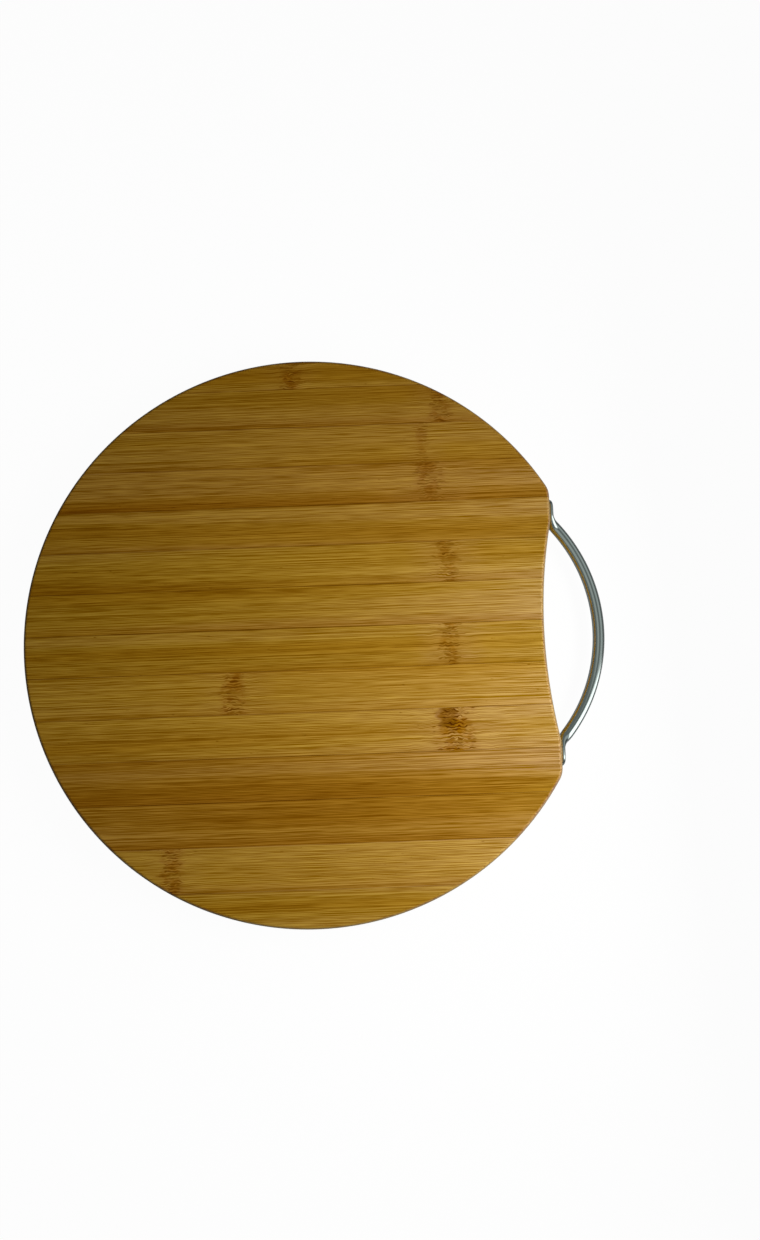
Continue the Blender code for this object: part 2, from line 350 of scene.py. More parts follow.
@dataclass(frozen=True)
class SteamedBamboo:
    """Carbonised bamboo, sanded and oiled.

    Steaming browns the whole strip. Sanding leaves the fibre bundles as dark hairlines in the
    paler pith, and oil gives a soft sheen that is dull where the fibres are cut across.

    Attributes:
        turn: The angle from +X to the fibres.
        pattern_shift: How far apart the patterns of two strips are, for each unit of their seeds.
        hairs: Length and width of the fibres, from the shortest to those that run on and on.
        hair_gap: Distance from one hairline to the next.
        line: Length and width of the single dark fibre bundles.
        band: Length and width of the broad bands of tone.
        skin_reach: From where to where the redder wood along a strip's lower edge fades.
        glue_reach: From where to where, out from a seam, its dark glue fades.
        glue_depth: How dark the glue is, between the patches and in them.
        wave: How a knuckle wavers along the strip.
        dash: Length and width of the groups of dashes in a knuckle.
        scorch_back: How far before a knuckle's middle its scorched spot is.
        scorch_rise: From where to where across the strip the spot sets in.
        dot_pitch: Distance from one cut fibre bundle to the next.
        roughness: In the hairlines and between them.
        gloss: Between the hairlines and in them.
        clear_blue: The blue that the wood has where the oil on it looks clear.
    """

    name: str
    turn: float
    pattern_shift: float = 7.3
    fineness: float = 0.55
    hairs: tuple[Size, ...] = ((18 * MM, 0.36 * MM), (80 * MM, 0.36 * MM), (350 * MM, 0.4 * MM))
    hair_gap: float = 0.36 * MM
    hair_contrast: float = 0.62
    line: Size = (300 * MM, 0.6 * MM)
    line_depth: float = 0.15
    band: Size = (330 * MM, 11 * MM)
    dark_band: float = 0.64
    pale_band: float = 0.38
    skin_reach: Size = (0.5 * MM, 6 * MM)
    glue_reach: Size = (0.1 * MM, 0.65 * MM)
    glue_patch: Size = (30 * MM, 9 * MM)
    glue_depth: Size = (0.05, 0.8)
    wave: Bend = Bend((7 * MM, 3 * MM), 2.5 * MM, detail=2)
    swerve: Bend = Bend((8 * MM, 5 * MM), 0.8 * MM, spread=0.3)
    wriggle: Bend = Bend((3.2 * MM, 3 * MM), 0.9 * MM, spread=0.3)
    sway: Bend = Bend((110 * MM, 14 * MM), 0.2 * MM)
    dash: Size = (4 * MM, 1.4 * MM)
    dash_pitch: float = 1.6 * MM
    stain_patch: Size = (7 * MM, 6 * MM)
    scorch_back: float = 4 * MM
    scorch_reach: Size = (3.5 * MM, 6 * MM)
    scorch_rise: Size = (10 * MM, 14 * MM)
    halo_depth: float = 0.3
    dot_pitch: float = 0.9 * MM
    # How much of the rim takes its worn colour, which is partly a painted sheen.
    rim_wear_sheen_share: float = 0.55
    roughness: Size = (0.59, 0.48)
    end_roughness: float = 0.14
    gloss: Size = (0.7, 0.3)
    dash_gloss: float = 0.3
    rim_gloss: float = 0.1
    clear_blue: float = 0.0052
    relief: float = 0.05 * MM
    relief_share: float = 0.35
    # Colours that the wood takes on.
    pith: str = "#B68E2A"
    halo: str = "#B08828"
    # The rim's worn colour, which is partly a painted sheen.
    rim_wear_sheen_colour: str = "#847C60"
    # Tints that its colour is multiplied by.
    toasted: str = "#E0C640"
    fibre: str = "#B79C00"
    bundle: str = "#BE9A10"
    skin: str = "#D8B410"
    glue: str = "#B88C38"
    stain: str = "#DCB430"
    scorch: str = "#C4A070"
    knuckle: str = "#B49220"
    end_grain: str = "#D8C8A4"

    def material(self) -> Material:
        """Builds the material.

        Returns:
            A material that reads Object coordinates and the strips' attributes.
        """
        material, shader, add = new_finish(self.name)
        coordinates = add("TexCoord")
        normal = coordinates.outputs["Normal"]
        turned = {"Vector": coordinates.outputs["Object"], "Rotation": (0, 0, -self.turn)}
        place = add("Mapping", turned)
        along, across, up = add("SeparateXYZ", place).outputs
        facts = add("Attribute", attribute_name="strip_facts").outputs["Vector"]
        seed, low_edge, skin_depth = add("SeparateXYZ", facts).outputs
        knuckle = add("Attribute", attribute_name="knuckle").outputs["Vector"]
        knuckle_at, knuckle_reach, knuckle_depth = add("SeparateXYZ", knuckle).outputs
        body = add("Attribute", attribute_name="body_colour").outputs["Color"]
        pattern = partial(self.noise, add, seed)

        def stray(bend: Bend) -> Node:
            """Adds the distance by which a bend strays, to both sides."""
            limits = (0.5 - bend.spread, 0.5 + bend.spread, -bend.reach, bend.reach)
            return add("MapRange", pattern(place, bend.size, bend.detail), *limits)

        # A knuckle lies across the strip in a wavy band. The fibres swerve beside it, wriggle in
        # it and sway a little everywhere.
        from_middle = add("Math SUBTRACT", along, knuckle_at)
        wavy = add("Math ADD", from_middle, stray(self.wave))
        away = add("Math DIVIDE", add("Math ABSOLUTE", wavy), knuckle_reach)
        core = add("MapRange", away, 1.2, 0.1, **FADE)
        near = add("MapRange", away, 3.2, 0.8, **FADE)
        beside = add("Math MULTIPLY", near, knuckle_depth)
        within = add("Math MULTIPLY", core, knuckle_depth)
        fibre_across = across
        for bend, share in ((self.swerve, beside), (self.wriggle, within), (self.sway, 1.0)):
            fibre_across = add("Math MULTIPLY_ADD", stray(bend), share, fibre_across)
        fibres = add("CombineXYZ", along, fibre_across, up)

        # Hairlines, single dark bundles and broad bands of tone, all long in the strip's
        # direction. A hairline is where the wood changes from one fibre to the next.
        next_fibres = add("VectorMath ADD", fibres, (0, self.hair_gap, self.hair_gap))
        hairs = 0.5
        for size in self.hairs:
            here, there = (pattern(spot, size, 1) for spot in (fibres, next_fibres))
            change = add("Math SUBTRACT", here, there)
            hairs = add("Math MULTIPLY_ADD", change, self.hair_contrast, hairs)
        hair_depth = add("MapRange", hairs, 0.7, 0.3)
        lines = pattern(fibres, self.line, 2)
        line_depth = add("MapRange", lines, 0.57, 0.72, 0.0, self.line_depth, **FADE)
        bands = pattern(fibres, self.band, 0)
        dark_band = add("MapRange", bands, 0.55, 0.3, 0.0, self.dark_band, **FADE)
        pale_band = add("MapRange", bands, 0.5, 0.75, 0.0, self.pale_band, **FADE)

        # Towards one edge a strip was nearer the cane's skin, and is redder.
        over_edge = add("Math SUBTRACT", across, low_edge)
        to_skin = add("MapRange", over_edge, *self.skin_reach, 1.0, 0.0, **FADE)
        skin = add("Math MULTIPLY", to_skin, skin_depth)

        # Glue shows dark in the seams between strips and between the layers, in patches.
        high_edge = add("Math SUBTRACT", STRIP_WIDTH, over_edge)
        seam = add("Math MINIMUM", over_edge, high_edge)
        for height in LAYER_SEAMS:
            off_seam = add("Math ABSOLUTE", add("Math SUBTRACT", up, height))
            seam = add("Math MINIMUM", seam, off_seam)
        in_seam = add("MapRange", seam, *self.glue_reach, 1.0, 0.0, **FADE)
        patches = pattern(place, self.glue_patch, 2)
        patch = add("MapRange", patches, 0.35, 0.65, *self.glue_depth)
        glue = add("Math MULTIPLY", in_seam, patch)

        # A knuckle is browner wood with rows of short dark dashes, and paler wood beside it. The
        # deepest ones are scorched too, in a spot at the high edge.
        paler = add("Math MULTIPLY", beside, self.halo_depth)
        least = add("MapRange", core, 0.0, 1.0, 0.7, 0.36)
        over = add("Math SUBTRACT", pattern(fibres, self.dash, 1), least)
        groups = add("MapRange", over, -0.02, 0.14, **FADE)
        phase = add("Math MULTIPLY", fibre_across, 2 * math.pi / self.dash_pitch)
        rows = add("MapRange", add("Math SINE", phase), -0.4, 0.8)
        dashes = add("Math MULTIPLY", groups, rows)
        dash_depth = add("Math MULTIPLY", dashes, knuckle_depth)
        stains = pattern(place, self.stain_patch, 2)
        stain = add("MapRange", stains, 0.42, 0.58, 0.25, 1.0, **FADE)
        brown = add("Math MULTIPLY", stain, within)
        off_spot = add("Math ABSOLUTE", add("Math ADD", wavy, self.scorch_back))
        to_spot = add("MapRange", off_spot, *self.scorch_reach, 1.0, 0.0)
        to_high = add("MapRange", over_edge, *self.scorch_rise)
        scorch = add("MapRange", knuckle_depth, 0.8, 1.0)
        for share in (to_high, to_spot):
            scorch = add("Math MULTIPLY", scorch, share)

        # Cut across, the fibres are dark dots and the wood drinks more oil.
        fibre_axis = (math.cos(self.turn), math.sin(self.turn), 0.0)
        facing = add("VectorMath DOT_PRODUCT", normal, fibre_axis).outputs["Value"]
        end = add("MapRange", add("Math ABSOLUTE", facing), 0.35, 0.95, **FADE)
        section = {"Vector": add("CombineXYZ", across, up), "Scale": 1 / self.dot_pitch}
        cells = add("TexVoronoi", section, voronoi_dimensions="2D")
        dots = add("MapRange", cells, 0.15, 0.42, 1.0, 0.35, **FADE)
        end_depth = add("Math MULTIPLY", end, dots)

        # The rounded rim is handled most and is worn, and it is shinier. Its greyer, paler colour
        # is partly wear and partly a painted sheen.
        flatness = add("Math ABSOLUTE", add("SeparateXYZ", normal).outputs[2])
        off_face = add("MapRange", flatness, 0.995, 0.7, **FADE)
        off_wall = add("MapRange", flatness, 0.1, 0.4, **FADE)
        rim = add("Math MULTIPLY", off_face, off_wall)
        wear_and_sheen = add("Math MULTIPLY", rim, self.rim_wear_sheen_share)

        colour = body
        for blend, share, tint in (
            ("MIX", pale_band, self.pith),
            ("MIX", paler, self.halo),
            ("MULTIPLY", dark_band, self.toasted),
            ("MULTIPLY", hair_depth, self.fibre),
            ("MULTIPLY", line_depth, self.bundle),
            ("MULTIPLY", skin, self.skin),
            ("MULTIPLY", glue, self.glue),
            ("MULTIPLY", brown, self.stain),
            ("MULTIPLY", scorch, self.scorch),
            ("MULTIPLY", dash_depth, self.knuckle),
            ("MULTIPLY", end_depth, self.end_grain),
            # Worn rim colour, partly a painted sheen.
            ("MIX", wear_and_sheen, self.rim_wear_sheen_colour),
        ):
            layers = {0: share, 6: colour, 7: linear(tint)}
            colour = add("Mix", layers, data_type="RGBA", blend_type=blend).outputs[2]

        # Oil shines least in the hairlines and dashes. Over wood with hardly any blue it is as
        # yellow itself, and its sheen has no blue either.
        dull = add("MapRange", hairs, 0.3, 0.7, *self.roughness)
        rough = add("Math MULTIPLY_ADD", end, self.end_roughness, dull)
        gloss = add("MapRange", hair_depth, 0.2, 0.8, *self.gloss)
        bare = add("MapRange", dash_depth, 0.0, 1.0, 1.0, self.dash_gloss)
        matt = add("Math MULTIPLY", gloss, bare)
        shine = add("Math MULTIPLY_ADD", rim, self.rim_gloss, matt)
        blue = add("SeparateColor", colour).outputs[2]
        clear = add("MapRange", blue, 0.0, self.clear_blue)
        oil = add("CombineColor", 1.0, 1.0, clear)
        height = add("Math SUBTRACT", hairs, dash_depth)
        relief = {"Strength": self.relief_share, "Distance": self.relief, "Height": height}
        surface = {
            "Base Color": colour,
            "Roughness": rough,
            "Specular IOR Level": shine,
            "Specular Tint": oil,
            "Normal": add("Bump", relief),
        }
        fill(shader, surface)
        return material

    def noise(
        self, add: AddNode, seed: NodeSocket, place: Node, size: Size, detail: float
    ) -> NodeSocket:
        """Adds a grain pattern of a real size, different in each strip.

        Args:
            add: Adds a node to the material.
            seed: The strip's own number.
            place: Gives the point along, across and up the strip.
            size: Length and width of a feature of the pattern.
            detail: How many times over it splits into finer detail.

        Returns:
            The pattern, from 0 to 1.
        """
        length, width = size
        scaled = add("Mapping", {"Vector": place, "Scale": (1 / length, 1 / width, 1 / width)})
        shift = add("CombineXYZ", add("Math MULTIPLY", seed, self.pattern_shift))
        shifted = add("VectorMath ADD", scaled, shift)
        inputs = {"Vector": shifted, "Scale": 1.0, "Detail": detail, "Roughness": self.fineness}
        return add("TexNoise", inputs).outputs[0]


@dataclass(frozen=True)
class DrawnSteel:
    """Stainless steel bar, drawn through a die and polished: bright, with faint lines along it.

    The lines that a die leaves are finer. These are as coarse as they have to be to show.

    Attributes:
        centre_x: Where the bow's centre is, which the lines run round.
        line: Length and width of the lines.
        roughness: Between the lines and on them.
    """

    name: str
    centre_x: float
    bow_radius: float
    colour: str = "#CAD6D2"
    line: Size = (25 * MM, 0.35 * MM)
    line_height: float = 0.02 * MM
    line_share: float = 0.25
    roughness: Size = (0.08, 0.21)

    def material(self) -> Material:
        """Builds the material.

        Returns:
            A material that reads Object coordinates.
        """
        material, shader, add = new_finish(self.name)
        coordinates = add("TexCoord").outputs["Object"]
        centred = add("Mapping", {"Vector": coordinates, "Location": (-self.centre_x, 0, 0)})
        x, y, z = add("SeparateXYZ", centred).outputs
        flat = add("CombineXYZ", x, y)
        radius = add("VectorMath LENGTH", flat).outputs["Value"]
        angle = add("Math ARCTAN2", y, x)
        run = add("Math MULTIPLY", angle, self.bow_radius)
        unrolled = add("CombineXYZ", run, radius, z)
        length, width = self.line
        scaled = add("Mapping", {"Vector": unrolled, "Scale": (1 / length, 1 / width, 1 / width)})
        lines = add("TexNoise", {"Vector": scaled, "Scale": 1.0, "Detail": 3.0})
        relief = {"Strength": self.line_share, "Distance": self.line_height, "Height": lines}
        surface = {
            "Base Color": linear(self.colour),
            "Metallic": 1.0,
            "Roughness": add("MapRange", lines, 0.3, 0.7, *self.roughness),
            "Normal": add("Bump", relief),
        }
        fill(shader, surface)
        return material


@dataclass(frozen=True)
class TurnedSteel:
    """Stainless steel turned on a lathe: the tool leaves rings round the screw's axis.

    The rings that a tool leaves are finer. These are as coarse as they have to be to show.

    Attributes:
        axis_y: How far the screws' axes are from the middle of the board.
        roughness: Between the rings and on them.
    """

    name: str
    axis_y: float
    axis_z: float
    colour: str = "#B0B0AC"
    ring_width: float = 0.18 * MM
    ring_height: float = 0.03 * MM
    ring_share: float = 0.3
    roughness: Size = (0.24, 0.40)

    def material(self) -> Material:
        """Builds the material.

        Returns:
            A material that reads Object coordinates.
        """
        material, shader, add = new_finish(self.name)
        x, y, z = add("SeparateXYZ", add("TexCoord").outputs["Object"]).outputs
        side = add("Math SUBTRACT", add("Math ABSOLUTE", y), self.axis_y)
        height = add("Math SUBTRACT", z, self.axis_z)
        section = add("CombineXYZ", side, height)
        radius = add("VectorMath LENGTH", section).outputs["Value"]
        turns = add("Math DIVIDE", radius, self.ring_width)
        rings = add("TexNoise", {"W": turns, "Scale": 1.0, "Detail": 2.0}, noise_dimensions="1D")
        relief = {"Strength": self.ring_share, "Distance": self.ring_height, "Height": rings}
        surface = {
            "Base Color": linear(self.colour),
            "Metallic": 1.0,
            "Roughness": add("MapRange", rings, 0.3, 0.7, *self.roughness),
            "Normal": add("Bump", relief),
        }
        fill(shader, surface)
        return material


@dataclass
class BoardBlank:
    """The board's outside as one solid: a disc with two flats, a hollow grip and rounded rims.

    Attributes:
        face_border: Width of the border that each flat face has inside its rim.
    """

    radius: float = 150 * MM
    thickness: float = 18 * MM
    rim_round: float = 2 * MM
    flat_x: float = FLAT_X
    corner_round: float = 12 * MM
    grip_depth: float = 6 * MM
    grip_radius: float = 280 * MM
    face_border: float = 0.3 * MM
    disc_steps: int = 300
    corner_steps: int = 14
    grip_steps: int = 60
    rim_steps: int = 8

    def build(self) -> Object:
        """Draws the outline by spinning a point round each arc, raises it and rounds its rims.

        Returns:
            The blank, which the strips are sawn from.
        """
        corner_x = self.flat_x - self.corner_round
        corner_y = math.sqrt((self.radius - self.corner_round) ** 2 - corner_x**2)
        corner = math.atan2(corner_y, corner_x)
        grip_x = self.flat_x - self.grip_depth + self.grip_radius
        grip = math.acos(1 - self.grip_depth / self.grip_radius)
        grip_y = self.grip_radius * math.sin(grip)

        start = (self.radius * math.cos(corner), self.radius * math.sin(corner), 0)
        blank = start_point("board_blank", start)
        with edit_mode(blank):
            self.arc(self.disc_steps, 2 * math.pi - 2 * corner, 0, 0)
            self.arc(self.corner_steps, corner, corner_x, -corner_y)
            draw_out(0, corner_y - grip_y, 0)
            self.arc(self.grip_steps, -2 * grip, grip_x, 0)
            draw_out(0, corner_y - grip_y, 0)
            self.arc(self.corner_steps, corner, corner_x, corner_y)
            bpy.ops.mesh.select_all(action="SELECT")
            bpy.ops.mesh.remove_doubles(threshold=WELD)
            bpy.ops.mesh.edge_face_add()
            draw_out(0, 0, self.thickness)
            bpy.ops.mesh.select_all(action="SELECT")
            bpy.ops.mesh.normals_make_consistent(inside=False)
            pick(blank, "EDGE", lambda edge: abs(edge.verts[0].co.z - edge.verts[1].co.z) < TINY)
            bpy.ops.mesh.bevel(offset=self.rim_round, segments=self.rim_steps, affect="EDGES")
            pick(blank, "FACE", lambda face: len(face.verts) > self.disc_steps)
            bpy.ops.mesh.inset(thickness=self.face_border)
        close_up(blank)
        return blank

    @staticmethod
    def arc(steps: int, angle: float, centre_x: float, centre_y: float) -> None:
        """Draws an arc from the selected point, anticlockwise for a positive angle."""
        bpy.ops.mesh.spin(steps=steps, angle=-angle, center=(centre_x, centre_y, 0), axis=UP)


@dataclass
class Panel:
    """One layer of the board: strips side by side, sawn from the blank.

    Attributes:
        slot: A name for the panel's material, which is not used.
        turn: The angle from +X to its strips.
        seam_offset: Where one of its seams lies across the strips.
        start: Where its first strip starts across the strips.
        strip_seed: How far apart the seeds of two neighbours are.
        layer_seed: How far apart the seeds of two layers are.
    """

    layer: Layer
    slot: str
    low: float
    high: float
    turn: float
    seam_offset: float
    start: float
    strips: list[Strip]
    strip_seed: float = 1.7
    layer_seed: float = 31.0

    def build(self, blank: Object, material: Material) -> list[Object]:
        """Saws the panel's strips and dresses them.

        Args:
            blank: The board's outside.
            material: The strips' finish.

        Returns:
            The strips' objects, in the order of their nodes.
        """
        layer = copy_of(blank, f"{self.layer.value}_layer")
        with edit_mode(layer):
            self.saw((0, 0, self.low), (0, 0, -1))
            self.saw((0, 0, self.high), UP)
        sideways = Vector((-math.sin(self.turn), math.cos(self.turn), 0))
        first = math.ceil((self.start - self.seam_offset) / STRIP_WIDTH)
        pieces = []
        for number, strip in enumerate(self.strips):
            low_edge = self.seam_offset + (first + number - 1) * STRIP_WIDTH
            node = f"{self.layer.value}_{number + 1:02d}"
            piece = copy_of(layer, f"{node}_bamboo")
            with edit_mode(piece):
                if number > 0:
                    self.saw(sideways * (low_edge + SEAM_GAP / 2), -sideways)
                if number < len(self.strips) - 1:
                    self.saw(sideways * (low_edge + STRIP_WIDTH - SEAM_GAP / 2), sideways)
            close_up(piece)
            self.mark(piece, strip, number, low_edge)
            place_piece(piece, node, material)
            pieces.append(piece)
        bpy.data.objects.remove(layer)
        return pieces

    @staticmethod
    def saw(point: Vector | Point, normal: Vector | Point) -> None:
        """Saws off what lies ahead of a plane, on its normal's side, and closes the cut."""
        bpy.ops.mesh.select_all(action="SELECT")
        bpy.ops.mesh.bisect(
            plane_co=point, plane_no=normal, use_fill=True, clear_outer=True, threshold=TINY
        )

    def mark(self, piece: Object, strip: Strip, number: int, low_edge: float) -> None:
        """Writes what the bamboo's material has to know about a strip into its mesh.

        Args:
            piece: The strip's object.
            strip: What the strip is like.
            number: Its place in the panel.
            low_edge: Where its lower edge is across the strips.
        """
        seed = self.strip_seed * number + self.layer_seed * list(Layer).index(self.layer)
        knuckle = strip.knuckle
        facts = {
            "strip_facts": ("FLOAT_VECTOR", "vector", (seed, low_edge, strip.edge)),
            "knuckle": ("FLOAT_VECTOR", "vector", (knuckle.at, knuckle.reach, knuckle.depth)),
            "body_colour": ("FLOAT_COLOR", "color", linear(strip.tone.value)),
        }
        for name, (kind, value_name, value) in facts.items():
            attribute = piece.data.attributes.new(name, kind, "POINT")
            attribute.data.foreach_set(value_name, value * len(piece.data.vertices))


@dataclass
class CarryingHandle:
    """The steel bar: a bow between two ends that are hammered flat, each pierced for a screw.

    Attributes:
        tip_ease_share: How much of a tab's thickness is eased away at its tip.
    """

    flat_x: float = FLAT_X
    clearance: float = 0.3 * MM
    mid_height: float = MID_HEIGHT
    rod: float = 6 * MM
    bow_radius: float = 87 * MM
    bow_centre_x: float = 67.7 * MM
    bend_radius: float = 8 * MM
    tab_width: float = 12 * MM
    tab_thickness: float = 2.2 * MM
    tab_tip_y: float = 71.5 * MM
    tip_ease_length: float = 3 * MM
    tip_ease_share: float = 0.6
    flattening_length: float = 9 * MM
    sides: int = 48
    bow_steps: int = 60
    flattening_steps: int = 8
    bend_steps: int = 14
    tip_steps: int = 16
    bow_half_angle: float = field(init=False)
    bend_centre: Vector = field(init=False)

    def __post_init__(self) -> None:
        """Works out where the bends are from the bow and the tabs."""
        tab_x = self.flat_x + self.clearance + self.tab_thickness / 2
        bend_x = tab_x + self.bend_radius
        reach = self.bow_radius + self.bend_radius
        bend_y = math.sqrt(reach**2 - (bend_x - self.bow_centre_x) ** 2)
        self.bend_centre = Vector((bend_x, bend_y))
        self.bow_half_angle = math.atan2(self.bend_centre.y, bend_x - self.bow_centre_x)

    def section(self, run: float) -> Size:
        """Gives the bar's width and thickness at a run past the flat tab.

        Args:
            run: Distance along the bar from the tab's straight end.

        Returns:
            Width, which is upright, and thickness.
        """
        share = min(max(run / self.flattening_length, 0.0), 1.0)
        share = share * share * (3 - 2 * share)
        width = self.tab_width + (self.rod - self.tab_width) * share
        return width, self.tab_thickness + (self.rod - self.tab_thickness) * share

    def tip_thickness(self, run: float) -> float:
        """Gives a tab's thickness at a run from its tip, where it is eased to a thin nose."""
        full = math.sqrt(1 - (1 - min(run / self.tip_ease_length, 1.0)) ** 2)
        return self.tab_thickness * (1 - self.tip_ease_share + self.tip_ease_share * full)

    def stations(self) -> list[Station]:
        """Lists the bar's sections from the round end of its flattening to a tab's tip.

        Returns:
            For each, its middle, the turn of its plane, its width and its thickness.
        """
        listed = []
        bow_centre = Vector((self.bow_centre_x, 0))
        bend_run = self.bend_radius * self.bow_half_angle
        ease = (self.flattening_length - bend_run) / self.bow_radius
        for i in range(self.flattening_steps + 1):
            angle = self.bow_half_angle - ease * (1 - i / self.flattening_steps)
            point = bow_centre + self.bow_radius * Vector((math.cos(angle), math.sin(angle)))
            run = bend_run + self.bow_radius * (self.bow_half_angle - angle)
            listed.append((point, angle, *self.section(run)))
        for i in range(1, self.bend_steps + 1):
            turn = self.bow_half_angle * (1 - i / self.bend_steps)
            point = self.bend_centre - self.bend_radius * Vector((math.cos(turn), math.sin(turn)))
            listed.append((point, turn, *self.section(self.bend_radius * turn)))
        tip_start = math.asin(self.tip_thickness(0) / self.tab_width)
        for i in range(self.tip_steps + 1):
            angle = math.pi / 2 - (math.pi / 2 - tip_start) * i / self.tip_steps
            run = self.tab_width / 2 * (1 - math.cos(angle))
            thickness = self.tip_thickness(run)
            point = Vector((self.flat_x + self.clearance + thickness / 2, self.tab_tip_y - run))
            width = max(self.tab_width * math.sin(angle), thickness)
            listed.append((point, 0.0, width, thickness))
        return listed

    def build(self, holes: list[Object], material: Material) -> None:
        """Bends half the bar from the top of the bow, hammers its end, mirrors and pierces it.

        Args:
            holes: Cutters for the screws' holes.
            material: The bar's finish.
        """
        handle = new_shape(
            "carrying_handle_bar",
            "circle",
            vertices=self.sides,
            radius=self.rod / 2,
            fill_type="NGON",
            location=(self.bow_centre_x + self.bow_radius, 0, self.mid_height),
            rotation=(math.pi / 2, math.pi / self.sides, 0),
        )
        stations = self.stations()
        bow_angle = stations[0][1]
        bow_centre = (self.bow_centre_x, 0, 0)
        with edit_mode(handle):
            bpy.ops.mesh.spin(steps=self.bow_steps, angle=-bow_angle, center=bow_centre, axis=UP)
            for last, station in zip(stations, stations[1:]):
                self.forge(handle, last, station)
            pick(handle, "FACE", lambda face: all(abs(v.co.y) < TINY for v in face.verts))
            bpy.ops.mesh.delete(type="FACE")
        apply_modifier(handle, "MIRROR", use_axis=(False, True, False), merge_threshold=WELD)
        close_up(handle)
        for hole in holes:
            combine(handle, hole)
        close_up(handle)
        place_piece(handle, "carrying_handle", material)

    def forge(self, handle: Object, last: Station, station: Station) -> None:
        """Draws the selected end of the bar out to its next section.

        Args:
            handle: The handle, in edit mode, with the bar's end selected.
            last: The section that the bar ends with.
            station: The section to reach.
        """
        last_point, last_turn, last_width, last_thickness = last
        point, turn, width, thickness = station
        step = point - last_point
        middle = (point.x, point.y, self.mid_height)
        draw_out(step.x, step.y, 0)
        bpy.ops.transform.rotate(value=last_turn - turn, orient_axis="Z", center_override=middle)
        squeeze = thickness / last_thickness
        bpy.ops.transform.resize(value=(squeeze,) * 3, center_override=middle)
        spread = (width - thickness) / 2 - squeeze * (last_width - last_thickness) / 2
        end = [v.index for v in bmesh.from_edit_mesh(handle.data).verts if v.select]
        for side in (1, -1):
            shape = bmesh.from_edit_mesh(handle.data)
            shape.verts.ensure_lookup_table()
            half = {i for i in end if side * (shape.verts[i].co.z - self.mid_height) > 0}
            pick(handle, "VERT", lambda vert: vert.index in half)
            bpy.ops.transform.translate(value=(0, 0, side * spread))
        whole = set(end)
        pick(handle, "VERT", lambda vert: vert.index in whole)


